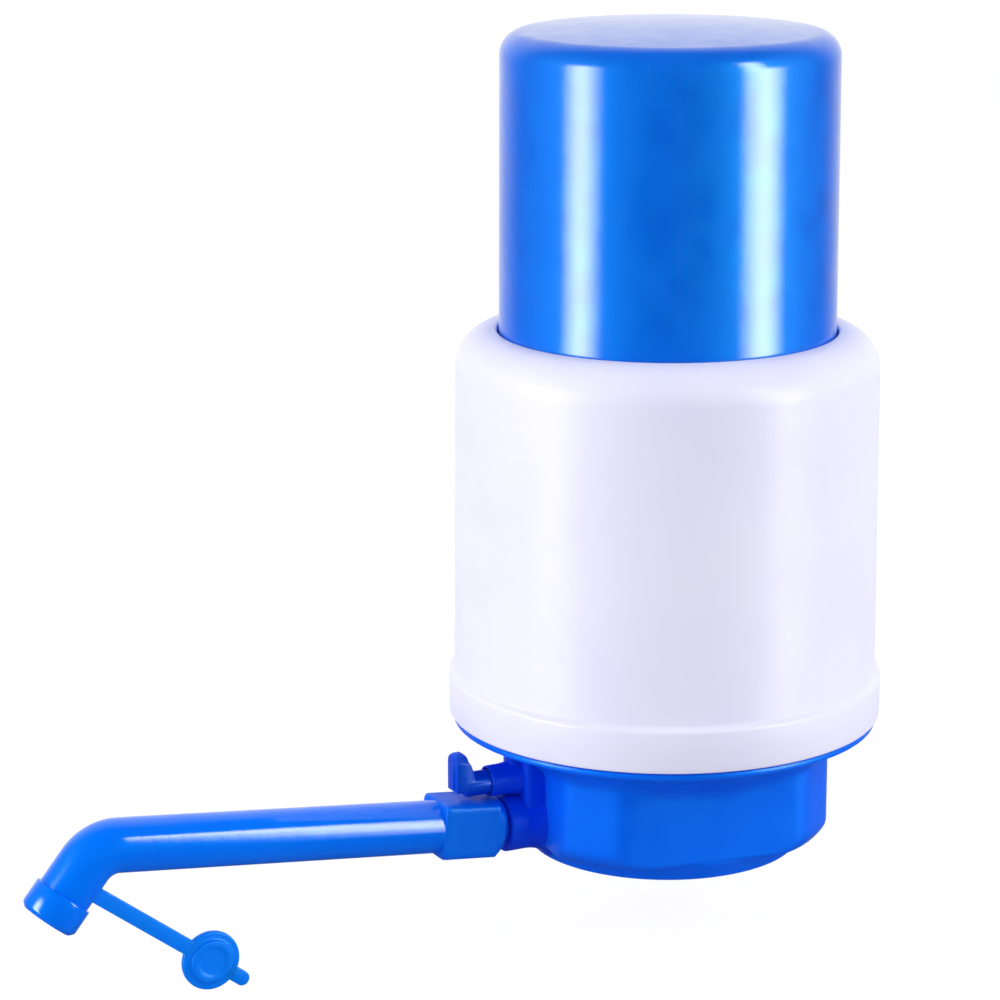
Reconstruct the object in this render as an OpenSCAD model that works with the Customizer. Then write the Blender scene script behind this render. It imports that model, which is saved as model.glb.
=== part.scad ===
// Hand pump for a large water jug: press cap over a bellows, housing, neck
// collar with outlet and air release, push-on spout with a tethered dust cap.
// Millimetres, +Z up, origin on the pump axis at the collar's bottom, spout to -X.

/* [Press cap] */
// Outer radius of the cap at the housing opening
cap_r = 34.5; // [30:0.1:38]
// Narrowing of the cap from the opening to its rounded top edge
cap_draft = 0.25; // [0:0.05:1]
// Height of the cap's top above the housing's lip when released
cap_rise = 61.8; // [45:0.1:75]
// Height of the dome above its own edge
cap_dome = 1.6; // [0.5:0.1:4]
// Rounding of the top edge
cap_edge = 4.4; // [2:0.1:6]
// Wall thickness
cap_wall = 2; // [1.5:0.1:3]
// Length of the guiding skirt below the retaining flange
cap_skirt = 5.2; // [3:0.1:12]
// How far the retaining flange stands out from the cap
cap_hook = 2.7; // [2:0.1:3.5]
// Depth of the step that carries the head plate below the top
cap_head = 8; // [7:0.1:11]

/* [Housing] */
// Gap between the cap and the edge of the opening
open_gap = 1.2; // [0.5:0.1:1.6]
// Height of the lip
lip_top = 109.2; // [95:0.1:125]
// How far the wall stands out from the cap
house_gap = 9.35; // [8:0.05:12]
// Narrowing of the wall from the band to the shoulder
house_draft = 0.45; // [0:0.05:1]
// How far the bottom band stands out from the wall
band_out = 1.15; // [0.6:0.05:2]
// Height of the band above the flange
band_h = 8.8; // [6:0.1:12]
// Wall thickness
house_wall = 2; // [1.5:0.1:3]

/* [Base] */
// Radius of the jug neck socket
neck_r = 27.8; // [26:0.05:30]
// Wall between the socket and the collar's long faces
collar_wall = 1.7; // [1.5:0.1:2.5]
// How far the short corner faces lie beyond the long faces
corner_out = 5.4; // [3.5:0.1:6]
// Turn of the collar's faces about the axis
collar_turn = -8.7; // [-20:0.1:20]
// Rounding of the collar's upright edges
collar_edge = 2.2; // [0.5:0.1:4]
// Height where the collar begins
collar_low = 3.5; // [2:0.1:5]
// Length of the guiding land in the socket
neck_land = 9.2; // [6:0.1:12]
// Height of the socket's roof
roof = 19.6; // [18:0.1:21]
// Floor thickness above the socket
floor_t = 2; // [1.5:0.1:3]
// Height of the flange's top face
flange_top = 28; // [26:0.1:30]
// Thickness of the flange
flange_t = 1.4; // [1:0.1:3]
// How far the flange lies inside the housing's band
flange_in = 0.8; // [0.4:0.1:1.2]
// Thickness of the cover plate
cover_t = 1.8; // [1.2:0.1:2.5]
// Outer radius of the suction tube's nipple
nipple_r = 4.1; // [3.5:0.05:5]
// Length of the nipple below the roof
nipple_l = 10; // [8:0.1:11]

/* [Outlet and air release] */
// Height of the outlet's axis
out_z = 8.6; // [7:0.1:10]
// Radius of the outlet boss
out_r = 6; // [5:0.1:7]
// Length of the outlet boss beyond the collar's long faces
out_l = 8.7; // [8.5:0.1:11]
// Radius of the spigot the spout is pushed on
spigot_r = 3.9; // [3.5:0.05:4.5]
// Length of the spigot
spigot_l = 10.4; // [8:0.1:11]
// Bore of the outlet
out_bore = 2.7; // [2:0.1:3]
// Height of the air release's axis above the outlet's axis
air_rise = 9.55; // [9.5:0.05:10]
// Radius of the air release boss
air_r = 2.75; // [2.6:0.05:4]
// Length of the air release boss beyond the collar's long faces
air_l = 10.4; // [10.4:0.1:12]
// Radius of the turning plug's spigot
plug_r = 1.8; // [1.5:0.05:2]
// Radius of the turning plug's barrel
barrel_r = 2.55; // [2.2:0.05:2.7]
// Running clearance of the plug and of the spout
run = 0.05; // [0.02:0.01:0.1]

/* [Spout] */
// Upward tilt of the spout's tube
tilt = 6.2; // [0:0.1:10]
// Distance along the tube from the block's end to the bend
reach = 85.9; // [60:0.1:110]
// Downward turn at the bend
turn = 57; // [30:1:90]
// Length of the outlet leg from the bend
leg = 17.3; // [12:0.1:25]
// Outer radius of the tube
tube_r = 5.45; // [4.5:0.05:6.5]
// Bore radius of the tube
tube_bore = 4.45; // [3.5:0.05:5]
// Bend radius on the centre line
bend_r = 7; // [6:0.5:12]
// Radius of the band round the mouth
mouth_r = 6.05; // [5.5:0.05:7]
// Length of the band round the mouth
mouth_l = 6; // [4:0.1:8]
// Half width of the square block
block_h = 5.7; // [5:0.05:6.5]
// Length of the square block
block_l = 12.9; // [10:0.1:16]

/* [Dust cap] */
// Width of the strap
strap_w = 3.2; // [2:0.1:4]
// Thickness of the strap
strap_t = 1.3; // [0.8:0.1:2]
// Fall of the strap below level
strap_fall = 37.2; // [20:0.1:60]
// Radius of the disc
disc_r = 6.1; // [5:0.05:7]
// Thickness of the disc
disc_t = 1.3; // [1:0.1:2]
// Radius of the plug
stop_r = 4.35; // [3.5:0.05:4.4]
// Depth of the plug
stop_l = 1.8; // [1:0.1:4]

/* [Bellows and valves] */
// Gap between the bellows and the inside of the cap
bellows_gap = 1.5; // [1:0.1:3]
// Depth of the folds
fold_depth = 5; // [3:0.1:7]
// Wall of the bellows
bellows_w = 1.1; // [0.8:0.1:2]
// Number of folds
folds = 14; // [8:1:18]
// Height of the clamp ring
ring_h = 4; // [3:0.1:6]
// Width of the clamp ring outside its screws
ring_edge = 3.4; // [3:0.1:4]
// Distance of the delivery valve from the axis
valve_x = 14; // [12:0.1:16]

/* [Hidden] */
$fn = 96;
eps = 0.01;
lap = 0.3;
weld = 0.06;
cap_top_r = cap_r - cap_draft;
cap_top = lip_top + cap_rise;
cap_step = cap_top - cap_head;
open_r = cap_r + open_gap;
house_low_r = cap_r + house_gap;
house_top_r = house_low_r - house_draft;
band_r = house_low_r + band_out;
band_top = flange_top + band_h;
flange_r = band_r - flange_in;
cover_top = flange_top - 1;
cover_low = cover_top - cover_t;
house_in_r = house_low_r - house_wall;
snap_gap = 0.35;
upstand_r = house_in_r - snap_gap;
upstand_in = upstand_r - 1.55;
cover_r = upstand_in - 1.75;
recess_r = cover_r + 0.2;
shoulder_r = house_top_r - open_r;
shoulder_z = lip_top - shoulder_r;
cap_in_r = cap_r - cap_wall;
cap_flange_top = lip_top - house_wall - 0.5;
cap_flange_t = 1.5;
cap_flange_r = cap_r + cap_hook;
cap_low = cap_flange_top - cap_flange_t - cap_skirt;
neck_relief = neck_r + 0.5;
flat_d = neck_r + collar_wall;
corner_d = flat_d + corner_out;
out_x = flat_d + out_l;
air_x = flat_d + air_l;
air_z = out_z + air_rise;
duct_in = neck_relief + 1.7;
duct_out = duct_in + 3.2;
duct_y = 3.2;
duct_wall = 1.6;
gallery_low = roof + floor_t;
air_duct_x = air_x - 4.3;
spigot_end = out_x + spigot_l;
seal_x = air_x - 1.5;
barrel_x = air_x + 6.9;
fin_x = air_x + 9.6;
fin_low = air_z - 0.95;
fin_top = air_z + 7.25;
fin_hw = 2.3;
socket_r = spigot_r + run;
block_x = out_x + 2.9;
block_z = out_z + 0.33;
bend_t = bend_r * tan(turn / 2);
bellows_low = cover_top;
folds_low = cover_top + 7;
folds_top = cap_step - 11;
bellows_r = cap_in_r - bellows_gap;
waist_r = bellows_r - fold_depth;
foot_r = waist_r + 2.4;
screw_pr = max(neck_r + 3.2, foot_r + 2.6);
ring_r = screw_pr + ring_edge;
ring_top = cover_top + ring_h;
bellows_top = cap_step - 2.3;
head_t = 2;
head_low = cap_step - head_t;
corner_cy = sqrt(2) * (corner_d - collar_edge) - (flat_d - collar_edge);
strap_root = 8.1;
strap_stub = 1.5;
strap_len = 20.2;
hinge_gap = 0.15;
screw_turn = collar_turn + 45;

// ---- helpers ----
module tube_z(ro, ri, z0, z1) {
  translate([0, 0, z0])
    difference() {
      cylinder(r = ro, h = z1 - z0);
      translate([0, 0, -1])
        cylinder(r = ri, h = z1 - z0 + 2);
    }
}

// rod along -X from distance x0 to distance x1
module rod_x(r, x0, x1, z) {
  translate([-x0, 0, z])
    rotate([0, -90, 0])
      cylinder(r = r, h = x1 - x0);
}

// spout frame: +Z runs along the tube away from the pump, +X is up
module in_spout() {
  translate([-block_x, 0, block_z])
    rotate([0, tilt - 90, 0])
      children();
}

// leg frame: +Z runs out through the mouth, +X is the outer side
module in_leg() {
  in_spout()
    translate([0, 0, reach])
      rotate([0, -turn, 0])
        children();
}

// strap frame: +X runs along the strap, Y is across it, +Z is the plug's side
module in_strap() {
  in_leg()
    translate([-tube_r, 0, strap_root])
      rotate([0, strap_fall - tilt + 90 + turn, 0])
        rotate([90, 0, 0])
          children();
}

// rectangle of half sizes hx and hy with rounded corners
module round_rect(hx, hy, r) {
  for (sx = [-1, 1], sy = [-1, 1])
    translate([sx * (hx - r), sy * (hy - r)])
      circle(r = r);
  square([2 * hx, 2 * (hy - r)], center = true);
  square([2 * (hx - r), 2 * hy], center = true);
}

// four long faces and four short corner faces with rounded edges
module collar_outline() {
  cx = flat_d - collar_edge;
  k = collar_edge * sqrt(0.5);
  for (a = [0 : 90 : 270], s = [-1, 1])
    rotate(a)
      translate([cx, s * corner_cy])
        circle(r = collar_edge);
  polygon([for (a = [0 : 90 : 270], p = [
      [flat_d, -corner_cy], [flat_d, corner_cy],
      [cx + k, corner_cy + k], [corner_cy + k, cx + k]])
    [p[0] * cos(a) - p[1] * sin(a), p[0] * sin(a) + p[1] * cos(a)]]);
}

// ---- press cap group ----
module cap_outline(r, r_top, top, edge) {
  big = (r_top * r_top) / (2 * cap_dome);
  intersection() {
    union() {
      polygon([[0, cap_low], [r, cap_low], [r, cap_flange_top], [r_top, top - cap_dome - edge],
        [r_top - edge, top], [0, top]]);
      translate([r_top - edge, top - cap_dome - edge])
        circle(r = edge);
    }
    translate([0, top - big])
      circle(r = big, $fn = 360);
    union() {
      square([r_top - edge, top]);
      translate([r_top - edge, top - cap_dome - edge])
        circle(r = edge);
      square([r + 1, top - cap_dome - edge]);
    }
  }
}

module press_cap() {
  color("dodgerblue")
    difference() {
      rotate_extrude()
        union() {
          cap_outline(cap_r, cap_top_r, cap_top, cap_edge);
          translate([cap_in_r + 0.5, cap_flange_top - cap_flange_t])
            square([cap_flange_r - cap_in_r - 0.5, cap_flange_t]);
          polygon([[cap_r - 0.5, cap_flange_top - 0.1], [cap_r + 1, cap_flange_top - 0.1],
            [cap_r + 1, cap_flange_top], [cap_r + 0.4, cap_flange_top + 0.3],
            [cap_r + 0.1, cap_flange_top + 0.9], [cap_r - 0.5, cap_flange_top + 1.6]]);
        }
      translate([0, 0, cap_low - 1])
        cylinder(r = cap_in_r, h = cap_step - cap_low + 1);
      translate([0, 0, cap_step - eps])
        cylinder(r = cap_in_r - 2, h = cap_top - cap_dome - 2.2 - cap_step);
    }
}

module head_plate() {
  color("whitesmoke")
    difference() {
      union() {
        translate([0, 0, head_low])
          cylinder(r = cap_in_r - 0.25, h = head_t);
        tube_z(waist_r - bellows_w - 0.3, waist_r - bellows_w - 1.9, head_low - 7, head_low + eps);
      }
      for (a = [0 : 60 : 300])
        rotate(a)
          translate([6.2, 0, head_low - 1])
            cylinder(r = 2, h = head_t + 2);
      translate([0, 0, head_low - 1])
        cylinder(r = 1.5, h = head_t + 2);
      for (a = [30, 150, 270])
        rotate(a)
          translate([cap_in_r - 1, 0, head_low - 1])
            cylinder(r = 2.6, h = head_t + 2);
    }
}

// mushroom valve hanging under a plate whose lower face is at z = 0
module mushroom(flap_r, stem_r, plate_t, lift) {
  rotate_extrude()
    polygon([[0, -1.5], [flap_r * 0.35, -1.5], [flap_r, -0.7], [flap_r, -0.1], [stem_r, -0.1],
      [stem_r, plate_t + lift], [stem_r + 0.7, plate_t + lift], [stem_r + 0.7, plate_t + lift + 0.5],
      [stem_r * 0.5, plate_t + lift + 2], [0, plate_t + lift + 2]]);
}

module intake_valve() {
  color("gainsboro")
    translate([0, 0, head_low])
      mushroom(9, 1.45, head_t, 1);
}

module bellows() {
  pitch = (folds_top - folds_low) / folds;
  outer = [for (i = [0 : folds - 1], p = [[waist_r, 0], [bellows_r, 0.42], [bellows_r, 0.58]])
    [p[0], folds_low + (i + p[1]) * pitch]];
  inner = [for (i = [len(outer) - 1 : -1 : 0]) [outer[i][0] - bellows_w, outer[i][1]]];
  color("aliceblue")
    rotate_extrude()
      polygon(concat([[waist_r - bellows_w, bellows_low], [foot_r, bellows_low], [foot_r, bellows_low + 1.6],
        [waist_r, bellows_low + 1.6]], outer, [[waist_r, folds_top], [waist_r, bellows_top],
        [waist_r - bellows_w, bellows_top], [waist_r - bellows_w, folds_top]], inner));
}

// hoop that grips the bellows' upper cuff on the head plate's spigot
module cuff_ring() {
  color("whitesmoke")
    tube_z(waist_r + 1.6, waist_r + 0.1, bellows_top - 4.5, bellows_top - 1.2);
}

// ---- inside the housing ----
module screw_holes(r, z0, z1) {
  for (a = [0 : 90 : 270])
    rotate(screw_turn + a)
      translate([screw_pr, 0, z0])
        cylinder(r = r, h = z1 - z0);
}

module clamp_ring() {
  color("aliceblue")
    difference() {
      tube_z(ring_r, waist_r + 0.3, cover_top, ring_top);
      translate([0, 0, cover_top - 1])
        cylinder(r = foot_r + 0.3, h = 1 + 1.9);
      screw_holes(1.6, cover_top - 1, ring_top + 1);
    }
}

module clamp_screws() {
  color("silver")
    for (a = [0 : 90 : 270])
      rotate(screw_turn + a)
        translate([screw_pr, 0, ring_top])
          clamp_screw();
}

module clamp_screw() {
  difference() {
    union() {
      translate([0, 0, -17])
        cylinder(r = 1.45, h = 17 + eps);
      cylinder(r1 = 2.8, r2 = 2.2, h = 1.7);
    }
    for (a = [0, 90])
      rotate(a)
        translate([-1.4, -0.3, 0.8])
          cube([2.8, 0.6, 2]);
  }
}

module housing() {
  in_low = house_in_r - 0.2;
  low = flange_top + 0.3;
  color("lavender")
    union() {
      // shoulder up to the lip of the opening
      translate([0, 0, shoulder_z])
        rotate_extrude()
          translate([open_r, 0])
            intersection() {
              difference() {
                circle(r = shoulder_r);
                circle(r = shoulder_r - house_wall);
              }
              square(shoulder_r);
            }
      // wall and band, with the snap groove inside the band
      rotate_extrude()
        polygon([[house_top_r - house_wall, shoulder_z], [house_top_r, shoulder_z],
          [house_low_r, band_top + 1.6], [band_r, band_top], [band_r, low + 0.6], [band_r - 0.6, low],
          [in_low, low], [in_low, low + 2.8], [in_low + snap_gap, low + 3.2],
          [in_low + snap_gap, low + 4.4], [in_low, low + 4.8], [in_low, low + 7.7],
          [house_in_r, low + 9.7]]);
    }
}

module cover_plate() {
  color("cornflowerblue")
    difference() {
      translate([0, 0, cover_low])
        cylinder(r = cover_r, h = cover_t);
      for (a = [0 : 60 : 300])
        translate([valve_x, 0, cover_low - 1])
          rotate(a)
            translate([4.2, 0, 0])
              cylinder(r = 1.4, h = cover_t + 2);
      translate([valve_x, 0, cover_low - 1])
        cylinder(r = 1.25, h = cover_t + 2);
      screw_holes(1.6, cover_low - 1, cover_top + 1);
    }
}

module delivery_valve() {
  color("gainsboro")
    translate([valve_x, 0, cover_low])
      mushroom(6.8, 1.2, cover_t, 0.9);
}

// ---- base ----
module base_shell() {
  cylinder(r = flat_d, h = collar_low + 1);
  intersection() {
    rotate(collar_turn)
      translate([0, 0, collar_low])
        linear_extrude(cover_low - 1.6 - collar_low)
          collar_outline();
    rotate_extrude()
      polygon([[0, collar_low], [corner_d - 1.6, collar_low], [corner_d + 2.1, collar_low + 4],
        [corner_d + 2.1, flange_top], [0, flange_top]]);
  }
  rotate_extrude()
    polygon([[0, roof - 0.6], [flat_d - 1, roof - 0.6], [flange_r - 1.6, flange_top - flange_t],
      [flange_r - 0.4, flange_top - flange_t], [flange_r, flange_top - flange_t + 0.4],
      [flange_r, flange_top - 0.4], [flange_r - 0.4, flange_top], [upstand_r, flange_top],
      [upstand_r, flange_top + 3.6], [upstand_r + snap_gap, flange_top + 4.1],
      [upstand_r, flange_top + 4.6], [upstand_r, flange_top + 7],
      [upstand_in, flange_top + 7], [upstand_in, cover_top],
      [recess_r, cover_top], [recess_r, cover_low], [0, cover_low]]);
}

module stubs() {
  rod_x(out_r, 20, out_x, out_z);
  rod_x(spigot_r, 20, spigot_end, out_z);
  rod_x(air_r, 20, air_x, air_z);
  // boss that joins the two and holds the rising water duct
  translate([-duct_out - duct_wall, 0, out_z])
    linear_extrude(gallery_low + 1 - out_z)
      translate([4, 0])
        round_rect(4, duct_y + duct_wall, 1.2);
  // web round the air duct
  translate([-air_duct_x - 1.4, 0, air_z])
    linear_extrude(cover_low - 0.6 - air_z)
      translate([4, 0])
        round_rect(4, 1.9, 0.8);
}

module plenum() {
  difference() {
    union() {
      translate([0, 0, gallery_low])
        cylinder(r = neck_r - 1.3, h = cover_low - gallery_low + 1);
      translate([0, 0, gallery_low + 1.6])
        cylinder(r = cover_r - 4.2, h = cover_low - gallery_low);
    }
    translate([-40, -duct_y - duct_wall, roof])
      cube([40, 2 * (duct_y + duct_wall), 20]);
    translate([0, 0, roof])
      cylinder(r = duct_y + duct_wall, h = 20);
    for (a = [0 : 90 : 270])
      rotate(screw_turn + a)
        translate([screw_pr, 0, roof])
          cylinder(r = 3.4, h = 20);
  }
}

module waterway() {
  translate([-duct_out, -duct_y, gallery_low])
    cube([duct_out, 2 * duct_y, cover_low - gallery_low + 1]);
  translate([0, 0, gallery_low])
    cylinder(r = duct_y, h = cover_low - gallery_low + 1);
  translate([-duct_out, -duct_y, out_z - out_bore])
    cube([duct_out - duct_in, 2 * duct_y, gallery_low + 1 - out_z + out_bore]);
  rod_x(out_bore, duct_in + 0.5, spigot_end + 1, out_z);
  translate([0, 0, roof - nipple_l - 1])
    cylinder(r = 2.8, h = nipple_l + floor_t + 2);
}

module airway() {
  rod_x(plug_r + run, air_x - 5.7, air_x + 1, air_z);
  translate([-air_duct_x, 0, air_z])
    cylinder(r = 0.8, h = cover_low - air_z + 1);
  translate([-air_duct_x - 1, -1, cover_low - 1])
    cube([0.9, 8.4, 3]);
  translate([-air_duct_x - 1, 5.6, cover_low - 1])
    cube([6, 1.8, 3]);
  for (a = [40, 110, 250, 320])
    rotate(a)
      translate([15, 0, roof - 1])
        cylinder(r = 2.5, h = floor_t + 2);
}

module base() {
  color("royalblue")
    union() {
      difference() {
        union() {
          base_shell();
          stubs();
        }
        translate([0, 0, -1])
          cylinder(r = neck_r, h = neck_land + 1);
        translate([0, 0, neck_land])
          cylinder(r = neck_relief, h = roof - neck_land);
        plenum();
        waterway();
        airway();
        screw_holes(1.5, ring_top - 17.5, cover_low + 1);
        // groove for the outlet's seal
        translate([-spigot_end + 3.4, 0, out_z])
          rotate([0, -90, 0])
            tube_z(spigot_r + 1, spigot_r - 0.75, 0, 1.7);
      }
      // nipple for the suction tube
      difference() {
        rotate_extrude()
          polygon([[0, roof - nipple_l], [nipple_r - 0.5, roof - nipple_l], [nipple_r, roof - nipple_l + 0.6],
            [nipple_r, roof + 0.2], [0, roof + 0.2]]);
        translate([0, 0, roof - nipple_l - 1])
          cylinder(r = 2.8, h = nipple_l + floor_t + 2);
      }
    }
}

module neck_seal() {
  color("whitesmoke")
    tube_z(neck_relief - 0.1, neck_r - 7.3, roof - 2.2, roof);
}

module outlet_oring() {
  color("dimgray")
    translate([-spigot_end + 2.55, 0, out_z])
      rotate([0, -90, 0])
        rotate_extrude()
          translate([spigot_r - 0.36, 0])
            circle(r = 0.36);
}

// ---- air release ----
// side outline of the thumb fin, in the plane of the spout
module fin_side() {
  polygon([[-fin_x, fin_low], [-fin_x, fin_top - 1.3], [-fin_x + 0.6, fin_top - 0.3],
    [-fin_x + 1.9, fin_top - 0.5], [-fin_x + 3.3, fin_top - 2.6], [-fin_x + 4.2, fin_top - 5.2],
    [-fin_x + 4.2, fin_low]]);
  translate([-fin_x + 1.3, fin_top - 1.3])
    circle(r = 1.3);
}

module air_plug() {
  color("mediumblue")
    difference() {
      union() {
        rod_x(plug_r, air_x - 5.5, air_x + 0.5, air_z);
        rod_x(barrel_r, air_x + 0.1, barrel_x, air_z);
        intersection() {
          translate([0, 5, 0])
            rotate([90, 0, 0])
              linear_extrude(10)
                fin_side();
          // front outline of the thumb fin
          translate([-fin_x - 1, 0, 0])
            rotate([90, 0, 90])
              linear_extrude(10)
                union() {
                  translate([0, fin_top - fin_hw])
                    circle(r = fin_hw);
                  translate([-fin_hw, fin_low - 1])
                    square([2 * fin_hw, fin_top - fin_hw - fin_low + 1]);
                }
        }
        // grip rib on the fin
        translate([-fin_x - 0.4, -1.2, fin_low + 0.8])
          cube([1, 0.9, 5.2]);
      }
      rod_x(0.8, 33, 44, air_z);
      translate([-43, 0, air_z - 4])
        cylinder(r = 0.9, h = 4);
      translate([-air_duct_x, 0, air_z])
        rotate([90, 0, 0])
          cylinder(r = 0.7, h = 4);
      translate([-seal_x, 0, air_z])
        rotate([0, -90, 0])
          tube_z(plug_r + 1, plug_r - 0.57, -0.42, 0.42);
    }
}

module air_oring() {
  color("dimgray")
    translate([-seal_x, 0, air_z])
      rotate([0, -90, 0])
        rotate_extrude()
          translate([plug_r - 0.28, 0])
            circle(r = 0.27);
}

// ---- spout ----
// straight run from the bend, with a faint weld ring where it leaves the bend
module leg_run(r, l) {
  translate([0, 0, bend_t - lap])
    cylinder(r = r, h = l + lap);
  translate([0, 0, bend_t - 1.3 * lap])
    cylinder(r = r + weld, h = 2.6 * lap);
}

module spout_solid() {
  in_spout() {
    intersection() {
      translate([0, 0, -2])
        linear_extrude(block_l + 2)
          round_rect(block_h, block_h, 1);
      rotate_extrude()
        polygon([[0, -2], [4.9, -2], [6.4, -0.6], [8.3, 2], [8.3, block_l - 1], [7.2, block_l], [0, block_l]]);
    }
    translate([0, 0, 1])
      cylinder(r = tube_r, h = reach - bend_t - 1);
    translate([-bend_r, 0, reach - bend_t])
      rotate([90, 0, 0])
        rotate_extrude(angle = turn)
          translate([bend_r, 0])
            circle(r = tube_r);
  }
  in_leg() {
    leg_run(tube_r, leg - bend_t - 1);
    rotate_extrude()
      polygon([[0, leg - mouth_l], [mouth_r - 0.3, leg - mouth_l], [mouth_r, leg - mouth_l + 0.3],
        [mouth_r, leg - 0.8], [mouth_r - 0.8, leg], [0, leg]]);
  }
}

module spout() {
  color("dodgerblue")
    difference() {
      union() {
        spout_solid();
        in_strap()
          translate([-2, -strap_w / 2, -strap_t / 2])
            cube([2 + strap_stub, strap_w, strap_t]);
      }
      // socket over the outlet spigot
      rod_x(socket_r, out_x - 1, spigot_end + 0.3, out_z);
      in_spout() {
        translate([0, 0, 7])
          cylinder(r = tube_bore - 0.7, h = block_l - 7);
        translate([0, 0, block_l - 1])
          cylinder(r = tube_bore, h = reach - bend_t - block_l + 1);
        translate([-bend_r, 0, reach - bend_t])
          rotate([90, 0, 0])
            rotate_extrude(angle = turn)
              translate([bend_r, 0])
                circle(r = tube_bore);
      }
      in_leg()
        leg_run(tube_bore, leg);
    }
}

// rounded end across the strap, centred on a hinge line
module knuckle() {
  translate([0, strap_w / 2, 0])
    rotate([90, 0, 0])
      cylinder(r = strap_t / 2, h = strap_w);
}

module strap() {
  color("dodgerblue")
    in_strap()
      translate([strap_stub + strap_t / 2 + hinge_gap, 0, 0]) {
        knuckle();
        translate([0, -strap_w / 2, -strap_t / 2])
          cube([strap_len, strap_w, strap_t]);
      }
}

module dust_cap() {
  color("dodgerblue")
    in_strap()
      translate([strap_stub + strap_len + strap_t + 2 * hinge_gap, 0, 0]) {
        knuckle();
        translate([0, -strap_w / 2, -strap_t / 2])
          cube([4, strap_w, strap_t]);
        translate([disc_r + 0.6, 0, 0])
          dust_disc();
      }
}

module dust_disc() {
  difference() {
    union() {
      translate([0, 0, -disc_t / 2])
        cylinder(r = disc_r, h = disc_t);
      translate([0, 0, 0])
        cylinder(r = stop_r, h = disc_t / 2 + stop_l);
    }
    translate([0, 0, disc_t / 2 + 0.2])
      cylinder(r = stop_r - 0.9, h = stop_l);
  }
  // pull tab
  translate([disc_r - 1.5, -1.5, -disc_t / 2])
    cube([3.7, 3, disc_t]);
  translate([disc_r + 2.2, 0, -disc_t / 2])
    cylinder(r = 1.5, h = disc_t);
}

press_cap();
head_plate();
intake_valve();
cuff_ring();
bellows();
clamp_ring();
clamp_screws();
housing();
base();
cover_plate();
delivery_valve();
neck_seal();
outlet_oring();
spout();
strap();
dust_cap();
air_plug();
air_oring();
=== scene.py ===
"""Hand pump for a water jug: a blue press cap over a bellows in a milky housing,
on a blue neck base with an air release, a push-on spout and a tethered dust cap."""
import bmesh
import bpy
from math import atan2, cos, radians, sin
from mathutils import Matrix, Vector


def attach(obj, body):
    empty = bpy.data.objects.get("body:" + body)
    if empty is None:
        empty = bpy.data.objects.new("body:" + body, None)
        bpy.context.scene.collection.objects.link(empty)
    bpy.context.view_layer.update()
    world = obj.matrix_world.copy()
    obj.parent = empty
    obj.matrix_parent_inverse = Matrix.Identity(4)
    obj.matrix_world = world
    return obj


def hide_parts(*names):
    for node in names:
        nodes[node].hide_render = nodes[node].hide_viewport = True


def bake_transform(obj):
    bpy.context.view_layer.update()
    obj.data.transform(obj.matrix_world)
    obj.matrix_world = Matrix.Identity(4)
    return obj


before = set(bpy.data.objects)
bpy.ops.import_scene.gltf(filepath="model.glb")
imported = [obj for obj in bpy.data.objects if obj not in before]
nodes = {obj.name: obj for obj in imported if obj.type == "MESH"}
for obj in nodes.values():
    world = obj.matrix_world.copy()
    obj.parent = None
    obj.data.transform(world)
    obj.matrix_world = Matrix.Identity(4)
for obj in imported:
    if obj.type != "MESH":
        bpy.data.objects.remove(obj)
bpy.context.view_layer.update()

# ---------------------------------------------------------------- the studio
# A white sweep with a pale floor just under the dust cap. Two tall soft boxes light the
# pump from the left and the right. Three bright cards in front and a dim one behind show
# in gloss only, as the stripes on the plastic.
CAMERA_TURN, CAMERA_DOWN, CAMERA_ROLL, CAMERA_LENS = 27.0, 14.21, -0.13, 122.26
PUMP_MIDDLE = Vector((-0.02, 0, 0.085))
CARD_FADE, SWEEP_LEAN, FLOOR_Z, FLOOR_WHITE = 0.22, 0.35, -0.0168, 0.86
camera_data = bpy.data.cameras.new("camera")
camera_data.lens = CAMERA_LENS
camera_data.sensor_width = 36
camera_data.clip_start = 0.01
camera = bpy.data.objects.new("camera", camera_data)
bpy.context.scene.collection.objects.link(camera)
camera.matrix_world = (Matrix.Translation((-0.33975, -0.59129, 0.24541))
                       @ Matrix.Rotation(radians(-CAMERA_TURN), 4, "Z")
                       @ Matrix.Rotation(radians(90 - CAMERA_DOWN), 4, "X")
                       @ Matrix.Rotation(radians(CAMERA_ROLL), 4, "Z"))
bpy.context.scene.camera = camera
bpy.context.scene.view_settings.view_transform = "Standard"


def beside_camera(turn, rise, reach):
    """A point so many degrees right of the camera and above level, seen from the pump."""
    a = radians(turn - CAMERA_TURN)
    return Vector((sin(a) * cos(radians(rise)), -cos(a) * cos(radians(rise)),
                   sin(radians(rise)))) * reach + PUMP_MIDDLE


def facing_pump(obj, place):
    obj.location = place
    obj.rotation_euler = (PUMP_MIDDLE - place).to_track_quat("-Z", "Y").to_euler()


def soft_box(name, turn, rise, reach, width, height, power):
    light = bpy.data.lights.new(name, "AREA")
    light.shape = "RECTANGLE"
    light.size, light.size_y, light.energy = width, height, power
    box = bpy.data.objects.new(name, light)
    bpy.context.scene.collection.objects.link(box)
    facing_pump(box, beside_camera(turn, rise, reach))
    box.visible_camera = False
    box.visible_glossy = False


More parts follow.
